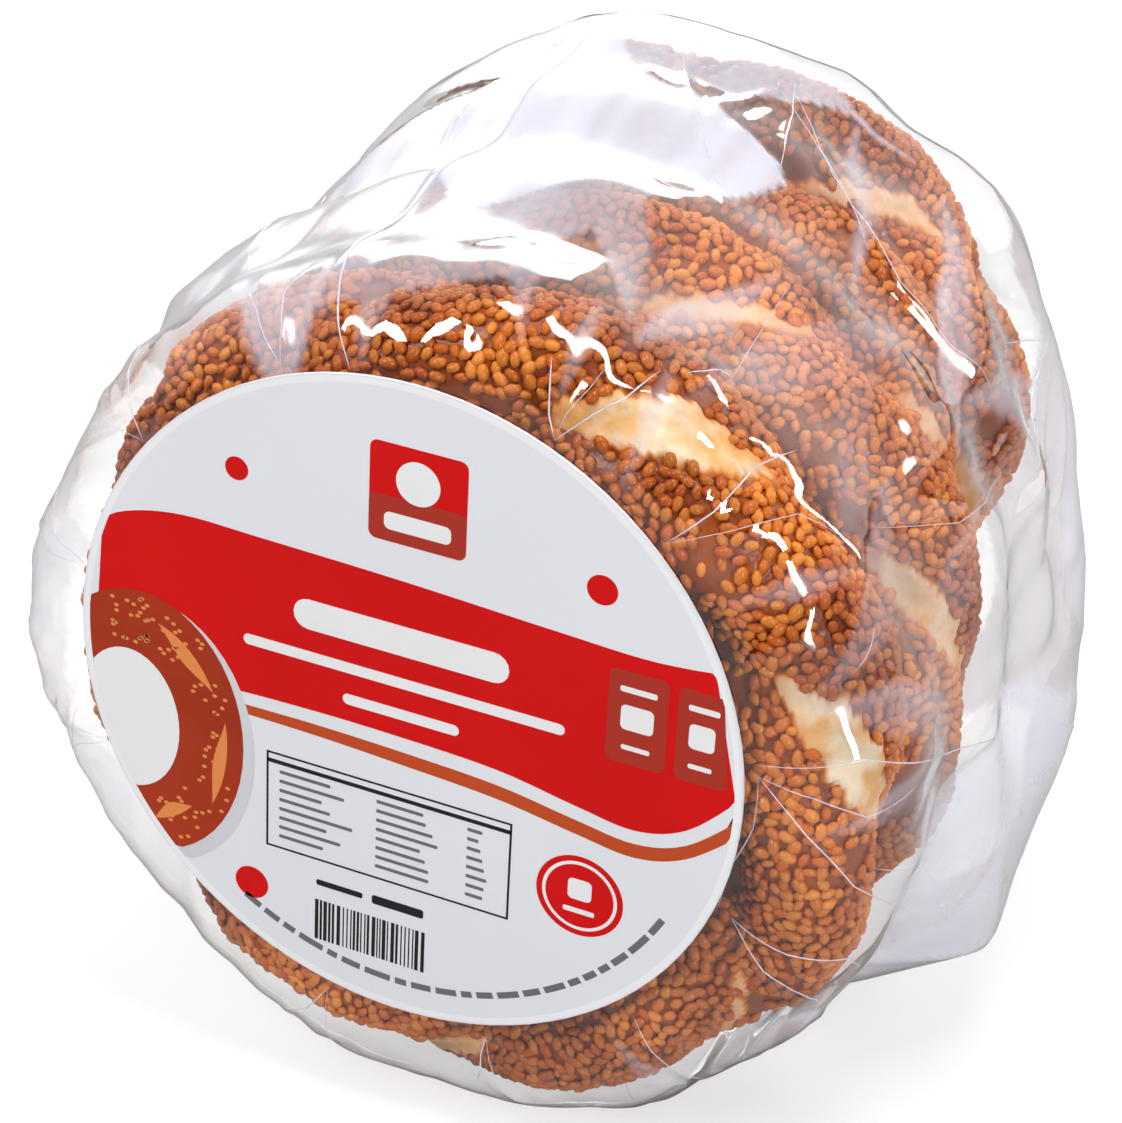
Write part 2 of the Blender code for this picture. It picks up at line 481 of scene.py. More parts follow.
def seed_tree():
    """Geometry Nodes that lay one seed at each of many even points on the crust."""
    tree = bpy.data.node_groups.new("lay_seeds", "GeometryNodeTree")
    face = tree.interface
    face.new_socket("Geometry", in_out="OUTPUT", socket_type="NodeSocketGeometry")
    face.new_socket("Geometry", in_out="INPUT", socket_type="NodeSocketGeometry")
    sizes = {"Length": SEED_LENGTH, "Width": SEED_WIDTH, "Height": SEED_HEIGHT, "Spacing": SEED_SPACING}
    for label, value in sizes.items():
        face.new_socket(label, in_out="INPUT", socket_type="NodeSocketFloat").default_value = value
    face.new_socket("Draw", in_out="INPUT", socket_type="NodeSocketInt").default_value = 1
    face.new_socket("Finish", in_out="INPUT", socket_type="NodeSocketMaterial")
    given = add_node(tree, "NodeGroupInput").outputs

    cover = add_node(tree, "GeometryNodeInputNamedAttribute", {"Name": "seeded"}, data_type="FLOAT")
    scatter = add_node(tree, "GeometryNodeDistributePointsOnFaces", {
        "Mesh": given["Geometry"], "Distance Min": given["Spacing"], "Density Max": SEED_CROWD,
        "Density Factor": cover.outputs["Attribute"], "Seed": given["Draw"],
    }, distribute_method="POISSON")
    keep = add_node(tree, "GeometryNodeStoreNamedAttribute", {
        "Geometry": scatter.outputs["Points"], "Name": "tone",
        "Value": add_node(tree, "FunctionNodeRandomValue").outputs[1],
    }, data_type="FLOAT", domain="POINT")

    ball = add_node(tree, "GeometryNodeMeshUVSphere", {
        "Segments": SEED_ROUND, "Rings": SEED_RINGS, "Radius": 0.5,
    })
    laid_down = add_node(tree, "GeometryNodeTransform", {
        "Geometry": ball.outputs["Mesh"], "Rotation": (0, math.radians(90), 0),
    })
    size = add_node(tree, "ShaderNodeCombineXYZ", {
        "X": given["Length"], "Y": given["Width"], "Z": given["Height"],
    })
    seed = add_node(tree, "GeometryNodeTransform", {
        "Geometry": laid_down.outputs["Geometry"], "Translation": (0, 0, SEED_STAND),
        "Scale": size.outputs["Vector"],
    })

    spin = add_node(tree, "FunctionNodeRandomValue", {
        0: (-SEED_TILT, -SEED_TILT, 0), 1: (SEED_TILT, SEED_TILT, 2 * math.pi),
    }, data_type="FLOAT_VECTOR")
    to_turn = add_node(tree, "FunctionNodeEulerToRotation", {0: spin.outputs[0]})
    turned = add_node(tree, "FunctionNodeRotateRotation", {
        0: scatter.outputs["Rotation"], 1: to_turn.outputs[0],
    }, rotation_space="LOCAL")
    least, most = SEED_PLUMPNESS
    plump = add_node(tree, "FunctionNodeRandomValue", {2: least, 3: most, "Seed": 5})

    place = add_node(tree, "GeometryNodeInstanceOnPoints", {
        "Points": keep.outputs["Geometry"], "Instance": seed.outputs["Geometry"],
        "Rotation": turned.outputs[0], "Scale": plump.outputs[1],
    })
    real = add_node(tree, "GeometryNodeRealizeInstances", {"Geometry": place.outputs["Instances"]})
    finish = add_node(tree, "GeometryNodeSetMaterial", {
        "Geometry": real.outputs["Geometry"], "Material": given["Finish"],
    })
    add_node(tree, "NodeGroupOutput", {"Geometry": finish.outputs["Geometry"]})
    return tree


def set_input(modifier, label, value):
    """Set a Geometry Nodes modifier's input by its name in the tree."""
    for socket in modifier.node_group.interface.items_tree:
        if socket.name == label and socket.in_out == "INPUT":
            modifier[socket.identifier] = value


def make_plain(piece):
    """Turn a piece with modifiers into a plain mesh."""
    depsgraph = bpy.context.evaluated_depsgraph_get()
    mesh = bpy.data.meshes.new_from_object(piece.evaluated_get(depsgraph))
    piece.modifiers.clear()
    piece.data = mesh
    mesh.name = piece.name
    mesh.shade_smooth()


FIRST_DRAW = 7
sesame_finish = seed_material()
lay_seeds = seed_tree()
for ring_index, crust in enumerate(crusts):
    seeds = bpy.data.objects.new("sesame_%d" % (ring_index + 1), crust.data.copy())
    bpy.context.collection.objects.link(seeds)
    layer = seeds.modifiers.new("seeds", "NODES")
    layer.node_group = lay_seeds
    set_input(layer, "Draw", FIRST_DRAW + ring_index)
    set_input(layer, "Finish", sesame_finish)
    make_plain(seeds)
    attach(seeds, "root")

# The film. One tube of thin clear film is drawn over the rings, flat across the front behind
# the label, sunk a little between the rings, and gathered in pleats at the back.
RING_MIDLINE = 69 * MM
FILM_RADIUS = RING_MIDLINE + FILM_ROLL
LABEL_RADIUS = (label_high[0] - label_low[0]) / 2
VALLEY_DEPTH = 2.4 * MM
VALLEY_DEPTH_UNDER = 0.3 * MM
UNDER_SIDE_FROM = -0.5
STRAIGHT_FOLD = 8 * MM
BACK_DISH = 9 * MM
BACK_PLEATS = 18
BACK_PLEAT_HEIGHT = 1.6 * MM
FLOOR_GAP = 0.05 * MM
# Loose folds: angle in degrees from +X towards +Z, half width in degrees, height, place
# along the row from the first ring, and half length along it
FOLDS = (
    (182, 26, 6 * MM, -6 * MM, 30 * MM),
    (208, 15, 3 * MM, 0 * MM, 30 * MM),
    (143, 18, 6 * MM, 36 * MM, 34 * MM),
    (98, 13, 2 * MM, 112 * MM, 40 * MM),
    (66, 14, 2 * MM, 90 * MM, 55 * MM),
    (44, 16, 4 * MM, 112 * MM, 45 * MM),
    (34, 13, 2 * MM, 50 * MM, 45 * MM),
    (12, 13, 2 * MM, 70 * MM, 50 * MM),
    (345, 18, 9 * MM, 98 * MM, 42 * MM),
    (325, 26, 20 * MM, 66 * MM, 60 * MM),
    (298, 13, 4 * MM, 26 * MM, 45 * MM),
)
FLAT_FRONT = 60 * MM
FLAT_FRONT_ROWS = 8
FILM_STEPS_ROUND = 420
FILM_STEP = 1.4 * MM
FACET_TABLE = 64
WANDER_ALONG = 2.2 * MM
WANDER_ROUND = 3 * MM
LABEL_WRINKLES_AT = 72 * MM
LABEL_WRINKLES_REACH = 9 * MM
LABEL_WRINKLES_HEIGHT = 0.55 * MM
# The main creases: degrees round the row, and millimetres walked from the front's middle
LONG_CREASES = (
    ((101, 212), (103, 190), (107, 140), (106, 105), (101, 74)),
    ((74, 206), (66, 190), (58, 176), (48, 169), (38, 168), (29, 174)),
    ((71, 204), (62, 182), (54, 170)),
    ((10, 66), (10, 85), (-2, 120), (-12, 160)),
    ((28, 214), (18, 200), (14, 180), (14, 152)),
    ((24, 218), (5, 208), (-10, 196)),
    ((138, 174), (133, 130), (120, 92)),
    ((88, 208), (80, 176), (71, 152)),
    ((56, 99), (58, 127), (59, 140)),
    ((33, 106), (24, 136), (21, 168)),
)
# Places where the film is pinched and creases fan out: degrees round the row, millimetres
# walked, number of creases, the fan's whole spread and its middle in degrees, and length
CREASE_FANS = (
    (69, 72, 6, 110, 10, 24),
    (48, 70, 4, 60, -10, 34),
    (8, 66, 5, 100, -60, 44),
    (-20, 65, 4, 70, -30, 34),
    (-50, 65, 3, 50, -10, 24),
    (-80, 65, 4, 70, 0, 20),
    (-110, 67, 3, 60, 0, 22),
    (140, 76, 4, 90, 0, 26),
    (165, 74, 5, 90, 0, 26),
    (-165, 72, 4, 80, 0, 26),
    (112, 76, 3, 60, 10, 26),
    (24, 214, 5, 110, 180, 40),
    (72, 208, 4, 80, 180, 40),
    (-25, 208, 4, 90, 180, 36),
)
LOOSE_CREASES = 36
CREASE_SWAY = 0.2
LAST_CREASED = 228
TAUT_SHARE = 0.75
PAINTED_SHEEN_FADE = 0.34
# Painted reflections, laid on the film as white patches that partly glow: degrees round the row,
# millimetres walked, half sizes of both, slant in degrees to each millimetre, strength
PAINTED_SHEEN_PLACES = (
    (100, 170, 36, 40, 0.0, 1.0),
    (112, 132, 24, 60, 0.0, 0.62),
    (92, 146, 16, 30, 0.2, 0.50),
    (97, 208, 42, 16, 0.0, 0.66),
    (140, 146, 34, 56, 0.1, 0.60),
    (108, 98, 30, 14, 0.0, 0.36),
    (84, 103, 4, 20, 0.3, 0.50),
    (72, 90, 2, 16, 0.1, 0.60),
    (64, 116, 4, 30, -0.15, 0.58),
    (51, 128, 6, 40, -0.2, 0.22),
    (41, 120, 5, 34, 0.25, 0.14),
    (27, 100, 6, 26, 0.35, 0.26),
    (13, 96, 4, 26, -0.3, 0.40),
    (2, 90, 3, 18, 0.2, 0.42),
    (18, 132, 5, 30, 0.3, 0.22),
    (78, 128, 5, 36, 0.3, 0.55),
    (116, 84, 3, 14, 0.1, 0.44),
    (98, 86, 2.5, 16, -0.1, 0.50),
    (40, 176, 5, 34, 0.3, 0.60),
    (58, 186, 3.5, 34, 0.2, 0.64),
    (24, 190, 5, 36, -0.3, 0.50),
    (4, 184, 9, 50, 0.2, 0.40),
    (-6, 226, 46, 28, 0.0, 0.56),
    (-28, 164, 20, 70, 0.2, 0.80),
    (-22, 122, 13, 46, 0.3, 0.74),
    (-50, 150, 12, 56, 0.1, 0.26),
    (60, 84, 2, 14, 0.2, 0.50),
    (33, 86, 2.5, 18, -0.2, 0.34),
    (-55, 80, 3, 18, 0.1, 0.32),
    (-84, 78, 3, 14, 0.1, 0.32),
    (172, 94, 30, 20, 0.3, 0.26),
    (-150, 92, 20, 20, 0.3, 0.20),
)


def fold_height(angle, along):
    """How far the loose folds lift the film."""
    height = np.zeros(np.broadcast(angle, along).shape)
    for fold_angle, half_width, fold_top, middle, half_length in FOLDS:
        turn = (np.degrees(angle) - fold_angle + 180) % 360 - 180
        across = np.clip(1 - np.abs(turn) / half_width, 0, None)
        down = np.clip(1 - np.abs(along - middle) / half_length, 0, None)
        height = height + fold_top * across * smooth(down * 1.4)
    return height


def valley(along, angle, lift):
    """How far the film sinks between two rings, less where a fold lifts it."""
    under = smooth(3 * (UNDER_SIDE_FROM - np.sin(angle)))
    depth = VALLEY_DEPTH + (VALLEY_DEPTH_UNDER - VALLEY_DEPTH) * under
    sink = np.zeros(np.broadcast(angle, along).shape)
    for before, after in zip(RING_PLACES, RING_PLACES[1:]):
        between = (along >= before) & (along <= after)
        sink = np.where(between, depth * np.sin(math.pi * (along - before) / (after - before)) ** 2, sink)
    return sink * (1 - smooth(lift / STRAIGHT_FOLD))


def film_line(walked):
    """Place along the row and distance from its axis, after walking so far from the front's middle."""
    bend = FILM_ROLL * math.pi / 2
    first = (walked - RING_MIDLINE) / FILM_ROLL
    run = walked - RING_MIDLINE - bend
    second = (run - STACK_LENGTH) / FILM_ROLL
    back = run - STACK_LENGTH - bend
    choices = [walked < RING_MIDLINE, run < 0, run < STACK_LENGTH, back < 0]
    along = np.select(choices, [
        -FILM_ROLL + 0 * walked, -FILM_ROLL * np.cos(first), run, STACK_LENGTH + FILM_ROLL * np.sin(second),
    ], STACK_LENGTH + FILM_ROLL)
    radius = np.select(choices, [
        walked, RING_MIDLINE + FILM_ROLL * np.sin(first), FILM_RADIUS + 0 * walked,
        RING_MIDLINE + FILM_ROLL * np.cos(second),
    ], np.clip(RING_MIDLINE - back, 0, None))
    return along, radius


def facets(across, down, seed):
    """Flat crumpled facets with sharp edges: heights on a slanted net, joined by planes."""
    table = np.random.RandomState(seed).uniform(-1, 1, (FACET_TABLE, FACET_TABLE))
    u = across + down * 0.5
    i, j = np.floor(u).astype(int), np.floor(down).astype(int)
    fu, fv = u - i, down - j
    corner, right, up, far = (
        table[(i + to_right) % FACET_TABLE, (j + to_up) % FACET_TABLE]
        for to_right, to_up in ((0, 0), (1, 0), (0, 1), (1, 1))
    )
    lower = corner + (right - corner) * fu + (far - right) * fv
    upper = corner + (up - corner) * fv + (far - up) * fu
    return np.where(fu > fv, lower, upper)


def cells(size):
    """Cells of a net to a metre round the row, fitted so that the net closes."""
    rounds = 2 * math.pi * FILM_RADIUS
    return round(rounds / size) / rounds


def crumple(angle, walked, along):
    """Fine folds of the film: facets drawn out along the row, and wrinkles round the label."""
    arc = angle * FILM_RADIUS
    wander = WANDER_ALONG * np.sin(walked / (17 * MM) + 3 * np.sin(angle * 2))
    wander = wander + WANDER_ROUND * np.sin(angle * 5 + walked / (31 * MM))
    wide = facets((arc + wander) * cells(19 * MM), (walked + wander) / (31 * MM), 3)
    small = facets((arc - wander) * cells(8.5 * MM), (walked + 2 * wander) / (17 * MM), 8)
    loose = smooth(fold_height(angle, along) / (3 * MM))
    height = (0.6 + wide * (1.15 + 1.3 * loose) + small * (0.5 + 0.5 * loose)) * MM
    spokes = facets(arc * cells(6.5 * MM), walked / (60 * MM), 14)
    by_label = np.exp(-((walked - LABEL_WRINKLES_AT) / LABEL_WRINKLES_REACH) ** 2)
    return height + spokes * by_label * LABEL_WRINKLES_HEIGHT


def fan_creases():
    """Creases that fan out from the pinched places, and a few short loose ones."""
    dice = random.Random(5)
    lines = []
    for angle, walked, number, spread, middle, length in CREASE_FANS:
        for step in range(number):
            heading = math.radians(middle + spread * ((step + dice.uniform(0.2, 0.8)) / number - 0.5))
            reach = length * dice.uniform(0.55, 1.1)
            lines.append(bent_line(angle, walked, heading, reach, dice))
    for _ in range(LOOSE_CREASES):
        heading = dice.uniform(-0.9, 0.9)
        angle, walked, reach = dice.uniform(-180, 180), dice.uniform(84, 205), dice.uniform(8, 26)
        lines.append(bent_line(angle, walked, heading, reach, dice))
    return lines


def bent_line(angle, walked, heading, reach, dice):
    """A slightly bent crease from one place, along a heading in the film's surface."""
    points = []
    for step in range(4):
        share = step / 3
        turned = heading + CREASE_SWAY * dice.uniform(-1, 1) * share
        across = math.degrees(reach * MM * share * math.sin(turned) / FILM_RADIUS)
        points.append((angle + across, min(walked + reach * share * math.cos(turned), LAST_CREASED)))
    return tuple(points)


def near_crease(angle, walked, line):
    """Distance in the film's surface to a crease, and the share of the way along it."""
    arc = np.radians(angle) * FILM_RADIUS
    best = np.full(np.broadcast(angle, walked).shape, 1.0)
    share = np.zeros(best.shape)
    corners = [(math.radians(a) * FILM_RADIUS, w * MM) for a, w in line]
    for step, ((au, av), (bu, bv)) in enumerate(zip(corners, corners[1:])):
        du, dv = bu - au, bv - av
        t = np.clip(((arc - au) * du + (walked - av) * dv) / (du * du + dv * dv), 0, 1)
        away_from = np.hypot(arc - au - t * du, walked - av - t * dv)
        closer = away_from < best
        best = np.where(closer, away_from, best)
        share = np.where(closer, (step + t) / (len(corners) - 1), share)
    return best, share


def pinched(angle, walked, creases):
    """Sharp ridges of the film along its creases."""
    height = np.zeros(np.broadcast(angle, walked).shape)
    for number, line in enumerate(creases):
        distance, share = near_crease(np.degrees(angle), walked, line)
        half_width = (3.6 + 1.8 * math.sin(number * 2.4)) * MM
        top = (0.85 + 0.4 * math.sin(number * 1.7 + 1)) * MM
        slope = np.clip(1 - distance / half_width, 0, 1)
        height = np.maximum(height, top * slope * np.sin(math.pi * np.clip(share, 0.04, 0.96)) ** 0.5)
    return height


def painted_sheen_patches(angle, walked):
    """How much painted reflection lies on the film, from 0 to 1: pointed shards with straight, ragged edges.
    """
    arc = angle * FILM_RADIUS
    ragged = facets(arc * cells(14 * MM), walked / (26 * MM), 21)
    satin = facets(arc * cells(3.5 * MM) + walked / (30 * MM), walked / (34 * MM), 27)
    total = np.zeros(ragged.shape)
    for middle, place, half_turn, half_length, slant, strength in PAINTED_SHEEN_PLACES:
        ahead = walked / MM - place
        turn = (np.degrees(angle) - middle - slant * ahead + 180) % 360 - 180
        far = np.abs(turn) / half_turn + np.abs(ahead) / half_length
        inside = smooth((1 - far + 0.2 * ragged) * half_turn / 1.7)
        fade = 1 + PAINTED_SHEEN_FADE * (np.clip(turn / half_turn, -1, 1) - 1) * min(1.0, 5 / half_turn)
        total = np.maximum(total, strength * inside * fade)
    return total * (0.88 + 0.12 * satin)


def film_points(creases):
    """The whole film as rows of points from the front's middle to the back's middle."""
    total = 2 * RING_MIDLINE + FILM_ROLL * math.pi + STACK_LENGTH
    front_rows = np.linspace(0, FLAT_FRONT, FLAT_FRONT_ROWS)[1:]
    rest = np.linspace(FLAT_FRONT, total, int((total - FLAT_FRONT) / FILM_STEP))[1:-1]
    walked = np.concatenate([front_rows, rest])[:, None]
    angle = np.linspace(-math.pi, math.pi, FILM_STEPS_ROUND, endpoint=False)[None, :]
    along, radius = film_line(walked)
    along = along + 0 * angle
    radius = radius + 0 * angle
    outward = (radius - RING_MIDLINE) / FILM_ROLL
    lift = np.where(along > -FILM_ROLL, fold_height(angle, along) * smooth(outward), 0)
    flat_back = along >= STACK_LENGTH + FILM_ROLL - 0.01 * MM
    sunk = valley(along, angle, lift)
    from_label = np.hypot(radius * np.cos(angle) + LABEL_SHIFT_LEFT, radius * np.sin(angle) - LABEL_SHIFT_UP)
    beside_label = np.where(along < 0, smooth((from_label - LABEL_RADIUS - 0.5 * MM) / (7 * MM)), 1)
    # The painted reflections. Where they lie, the fine crumple is also flattened.
    painted_sheen = painted_sheen_patches(angle, walked)
    fine = crumple(angle, walked, along) * (1 - TAUT_SHARE * painted_sheen)
    fine = (fine + pinched(angle, walked, creases)) * beside_label
    radial = np.clip(outward, 0, 1)
    inward = 1 - radius / RING_MIDLINE
    pleat = BACK_PLEAT_HEIGHT * np.sin(BACK_PLEATS * angle) * smooth(inward * 3) * smooth(radius / (15 * MM))
    dish = np.where(flat_back, BACK_DISH * smooth(inward * 1.2) - pleat, 0)
    end = np.where(along > STACK_LENGTH / 2, 1.0, -1.0)
    facing = np.sqrt(np.clip(1 - radial ** 2, 0, 1))
    radius = radius + lift - sunk + fine * radial
    along = along - dish + fine * facing * end
    slid = lean(along)
    x = AXIS_X + radius * np.cos(angle) - LEAN_LEFT * slid
    z = AXIS_Z + radius * np.sin(angle) + LEAN_UP * slid * (1 + np.sin(angle)) / 2
    y = FIRST_RING_Y + along
    return np.stack([x, y, np.maximum(z, FLOOR_GAP)], axis=-1), walked, painted_sheen


def film_mesh(rows):
    """Quads between the rows, closed by a fan at each end."""
    count, columns = rows.shape[:2]
    front = rows[0].mean(axis=0)
    back = rows[-1].mean(axis=0)
    points = np.concatenate([rows.reshape(-1, 3), [front, back]])
    quads = grid_faces(count, columns, False).tolist()
    middle = count * columns
    for step in range(columns):
        beside = (step + 1) % columns
        quads.append((middle, beside, step))
        last = (count - 1) * columns
        quads.append((middle + 1, last + step, last + beside))
    return points, quads


FILM_IOR = 1.5
PAINTED_SHEEN_ROUGHNESS = 0.35
TWO_FACES = 1.7
FILM_CLEAR = (0.985, 0.987, 0.992, 1)
# The painted reflections: white film lit by the lamps, mixed half and half with a painted glow that shines
# though it is no lamp.
PAINTED_SHEEN_WHITE = (0.78, 0.80, 0.92, 1)
PAINTED_GLOW_COLOUR = (0.85, 0.85, 0.97, 1)
PAINTED_GLOW_STRENGTH = 0.85


def shader_mix(tree, share, first, second):
    """Go between two shaders. The share is a number or another node's socket."""
    return add_node(tree, "ShaderNodeMixShader", {"Fac": share, 1: first.outputs[0], 2: second.outputs[0]})


def film_material(name, base_painted_sheen):
    """Clear film: see-through face on, mirror-like at a slant, with painted reflections as white, partly
    glowing patches.
    """
    finish, tree, spare = new_finish(name)
    tree.nodes.remove(spare)
    sheen_share = stored(tree, "painted_sheen")
    clear = add_node(tree, "ShaderNodeBsdfTransparent", {"Color": FILM_CLEAR})
    sheen_white = add_node(tree, "ShaderNodeBsdfDiffuse", {"Color": PAINTED_SHEEN_WHITE})
    # Painted glow: the patches give light of their own.
    painted_glow = add_node(tree, "ShaderNodeEmission", {"Color": PAINTED_GLOW_COLOUR, "Strength": PAINTED_GLOW_STRENGTH})
    painted_sheen_amount = worked_out(tree, "ADD", sheen_share, base_painted_sheen, clamp=True)
    painted_sheen_shader = shader_mix(tree, painted_sheen_amount, clear, shader_mix(tree, 0.5, sheen_white, painted_glow))
    rough = ranged(tree, object_noise(tree, 38, 4), 0.35, 0.75, 0.02, 0.09)
    shine = add_node(tree, "ShaderNodeBsdfGlossy", {
        "Color": (1, 1, 1, 1), "Roughness": worked_out(tree, "MULTIPLY_ADD", sheen_share, PAINTED_SHEEN_ROUGHNESS, rough),
    })
    inside = add_node(tree, "ShaderNodeNewGeometry").outputs["Backfacing"]
    slant = add_node(tree, "ShaderNodeFresnel", {"IOR": ranged(tree, inside, 0, 1, FILM_IOR, 1 / FILM_IOR)})
    mirror = worked_out(tree, "MULTIPLY", slant.outputs["Fac"], TWO_FACES, clamp=True)
    whole = shader_mix(tree, mirror, painted_sheen_shader, shine)
    fill(tree, tree.nodes["Material Output"], {"Surface": whole.outputs[0]})
    return finish


def face_outwards(piece):
    """Turn every face of a closed mesh to point outwards."""
    builder = bmesh.new()
    builder.from_mesh(piece.data)
    bmesh.ops.recalc_face_normals(builder, faces=builder.faces)
    builder.to_mesh(piece.data)
    builder.free()


all_creases = list(LONG_CREASES) + fan_creases()
film_rows, film_walked, film_painted_sheen = film_points(all_creases)
film_positions, film_faces = film_mesh(film_rows)
film = link_mesh("film", film_positions, film_faces, film_material("clear_film", 0.0))
# The painted reflections are kept on the film's points for its material to read.
store(film.data, "painted_sheen", np.concatenate([film_painted_sheen.ravel(), [0, 0]]))
face_outwards(film)
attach(film, "root")
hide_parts("bag")

# The creases themselves. Along each one the film is pinched into a narrow standing welt,
# tapered to nothing at both ends, and made white and glowing as a painted highlight line.
WELT_HALF_WIDTH = 0.2 * MM
WELT_HEIGHT = 0.2 * MM
WELT_STEP = 2.0 * MM
SEAM_BOLD = 2.4
# How much painted highlight, white and glowing, covers the welts.
WELT_PAINTED_HIGHLIGHT = 0.85
NO_LENGTH = 1e-12


def on_film(angle, walked):
    """The film's point and outward direction at a place given in degrees and millimetres."""
    row = int(np.clip(np.searchsorted(film_walked[:, 0], walked * MM), 1, len(film_walked) - 2))
    column = (angle + 180) % 360 / 360 * FILM_STEPS_ROUND
    left = int(column) % FILM_STEPS_ROUND
    right = (left + 1) % FILM_STEPS_ROUND
    along = (walked * MM - film_walked[row - 1, 0]) / (film_walked[row, 0] - film_walked[row - 1, 0])
    across = column - int(column)
    low = film_rows[row - 1, left] * (1 - across) + film_rows[row - 1, right] * across
    high = film_rows[row, left] * (1 - across) + film_rows[row, right] * across
    spot = low + (high - low) * along
    outward = np.cross(film_rows[row, right] - film_rows[row, left], high - low)
    middle = np.array([AXIS_X, FIRST_RING_Y + STACK_LENGTH / 2, AXIS_Z])
    outward *= np.sign(outward @ (spot - middle))
    return spot, outward / np.linalg.norm(outward)


def welts(lines):
    """One closed three-sided ridge for each crease, joined into one mesh."""
    points, faces = [], []
    for number, line in enumerate(lines):
        path = []
        for (a0, w0), (a1, w1) in zip(line, line[1:]):
            span = math.hypot(math.radians(a1 - a0) * FILM_RADIUS, (w1 - w0) * MM)
            steps = max(2, int(span / WELT_STEP))
            path += [(a0 + (a1 - a0) * n / steps, w0 + (w1 - w0) * n / steps) for n in range(steps)]
        path.append(line[-1])
        spots = [on_film(*place) for place in path]
        base = len(points)
        bold = SEAM_BOLD if number == 0 else 0.7 + 0.3 * math.sin(number * 2.9)
        for n, (spot, outward) in enumerate(spots):
            ahead = spots[min(n + 1, len(spots) - 1)][0] - spots[max(n - 1, 0)][0]
            side = np.cross(outward, ahead)
            side /= np.linalg.norm(side) + NO_LENGTH
            taper = 0.12 + 0.88 * max(0.0, math.sin(math.pi * n / (len(spots) - 1))) ** 0.6
            wide = WELT_HALF_WIDTH * taper * bold
            tall = WELT_HEIGHT * taper * bold
            for corner in (spot - side * wide, spot + outward * tall, spot + side * wide):
                corner[2] = max(corner[2], FLOOR_GAP)
                points.append(corner)
        for n in range(len(spots) - 1):
            here, there = base + 3 * n, base + 3 * n + 3
            for k in range(3):
                faces.append((here + k, here + (k + 1) % 3, there + (k + 1) % 3, there + k))
        last = base + 3 * (len(spots) - 1)
        faces += [(base + 2, base + 1, base), (last, last + 1, last + 2)]
    return points, faces


welt_points, welt_faces = welts(all_creases[::2] + list(LONG_CREASES[1::2]))
crease_lines = link_mesh("film_creases", welt_points, welt_faces, film_material("crease_painted_highlight", WELT_PAINTED_HIGHLIGHT))
store(crease_lines.data, "painted_sheen", np.zeros(len(welt_points)))
face_outwards(crease_lines)
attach(crease_lines, "root")

# The label. A round of coated white paper is stuck to the front of the film, printed with a
# red band, a stripe, a plain picture of a ring, a blank table, bars and a round badge.
PRINT_TURN = math.radians(-3)
INK_LIFT = 0.03 * MM
INK_THICKNESS = 0.02 * MM
RIM = 1.6 * MM
LABEL_X = (label_low[0] + label_high[0]) / 2
LABEL_Z = (label_low[2] + label_high[2]) / 2
LABEL_FRONT = label_low[1]
BAND_TOP = ((-68, 21), (-58, 26.5), (-46, 29), (-30, 28.8), (0, 28), (30, 26.6), (50, 26), (68, 28))
BAND_BOTTOM = (
    (68, 3), (58, -7), (48, -10.5), (36, -9), (20, -6.3), (0, -5.4), (-20, -5.3), (-40, -6.2), (-68, -10),
)
STRIPE_TOP = (
    (-36, -8.4), (-18, -8.2), (0, -8.6), (20, -9.6), (36, -12.0), (48, -13.4), (58, -10.4), (68, -1.5),
)
STRIPE_BOTTOM = (
    (68, -5.2), (58, -13.4), (48, -16.4), (36, -15.0), (20, -12.6), (0, -11.4), (-18, -10.6), (-36, -10.4),
)
PICTURE = (-55, -19)
PICTURE_HALF = (22, 29)
TABLE_ROWS = 8
TABLE_TOP = -21.6
TABLE_ROW = 2.1
TABLE_BAR = 0.75
CODE_FROM, CODE_TO = -17.2, 6.2
CODE_FOOT, CODE_HEIGHT = -57.4, 9.4
RIM_BARS_FROM, RIM_BARS_TO = math.radians(-122), math.radians(-28)
RIM_BARS_INNER, RIM_BARS_OUTER = 60.6, 62.0


def coated_paper(name, colour, roughness, second=None):
    """Printed, coated paper: even ink with a faint unevenness, under a clear gloss."""
    finish, tree, shader = new_finish(name)
    darker = second or tuple(0.93 * part for part in colour)
    uneven = colour_mix(tree, object_noise(tree, 22, 3), darker, colour)
    fill(tree, shader, {"Base Color": uneven, "Roughness": roughness, "Specular IOR Level": 0.12})
    return finish


def curved(points, steps=6):
    """A smooth line through the given points, in millimetres."""
    line = []
    for n in range(len(points) - 1):
        before = Vector(points[max(n - 1, 0)])
        here = Vector(points[n])
        there = Vector(points[n + 1])
        beyond = Vector(points[min(n + 2, len(points) - 1)])
        for step in range(steps):
            t = step / steps
            squared = 2 * before - 5 * here + 4 * there - beyond
            cubed = 3 * here - before - 3 * there + beyond
            spot = 0.5 * (2 * here + (there - before) * t + squared * t * t + cubed * t ** 3)
            line.append((spot.x, spot.y))
    line.append(tuple(points[-1]))
    return line


def oval(u, v, radius, radius_up=None, steps=48):
    """Points round a circle or an oval."""
    up = radius_up or radius
    turns = [2 * math.pi * n / steps for n in range(steps)]
    return [(u + radius * math.cos(turn), v + up * math.sin(turn)) for turn in turns]


def tile(u, v, width, height, corner=0.8):
    """Points round an upright rectangle with rounded corners, from its lower left."""
    right, top = width - corner, height - corner
    points = []
    for cu, cv, start in ((right, top, 0), (corner, top, 90), (corner, corner, 180), (right, corner, 270)):
        for step in range(5):
            angle = math.radians(start + step * 22.5)
            points.append((u + cu + corner * math.cos(angle), v + cv + corner * math.sin(angle)))
    return points


def inside_rim(points):
    """Keep a printed shape within the label's rim."""
    most = LABEL_RADIUS / MM - RIM / MM
    kept = []
    for u, v in points:
        far = math.hypot(u, v)
        share = min(1.0, most / far) if far > 0 else 1.0
        kept.append((u * share, v * share))
    return kept


